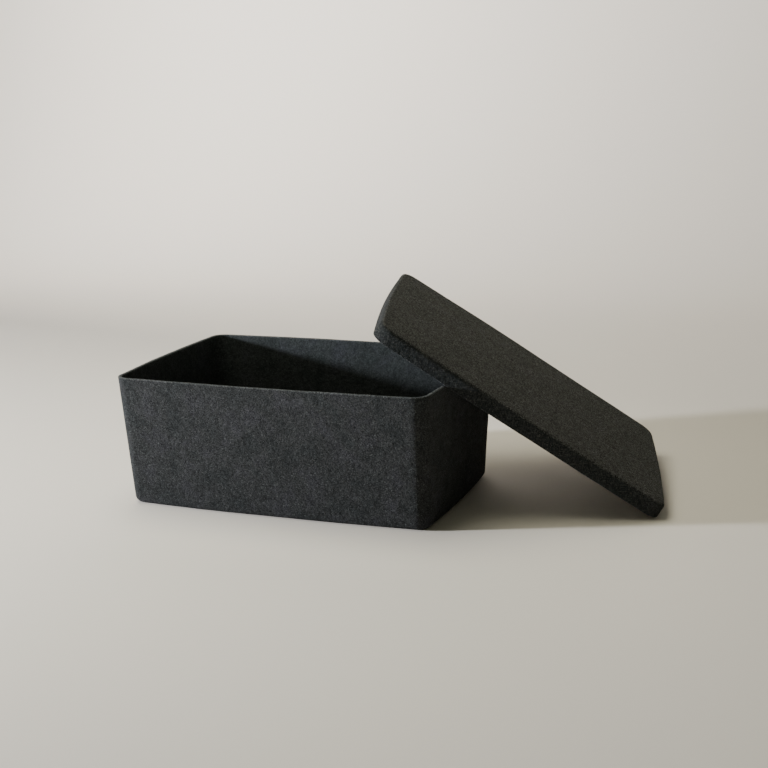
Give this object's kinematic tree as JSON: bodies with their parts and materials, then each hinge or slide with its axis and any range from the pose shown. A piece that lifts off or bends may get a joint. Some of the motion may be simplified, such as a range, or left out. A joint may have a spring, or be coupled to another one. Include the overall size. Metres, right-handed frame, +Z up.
{
  "type": "archival storage box",
  "caption": "Rectangular moulded felt storage box with tapered, slightly bowed walls, open at the top, and its shallow lift-off lid leaning on one end.",
  "frame": {"origin": "middle of the box's underside, on the surface it stands on", "axes": "+Z up; +X along the box's length towards the end the lid leans on; +Y towards the back long side"},
  "size_m": [0.5645, 0.362, 0.221],
  "materials": {
    "box_felt": "matt moulded charcoal felt",
    "lid_felt": "matt moulded charcoal felt"
  },
  "bodies": {
    "box": {"box_shell": "box_felt"},
    "lid": {"lid_shell": "lid_felt"}
  },
  "joints": [
    {"name": "lid_lift", "type": "slide", "parent": "box", "child": "lid", "axis": [0, 0, 1], "range_m": [0, 0.22]}
  ]
}
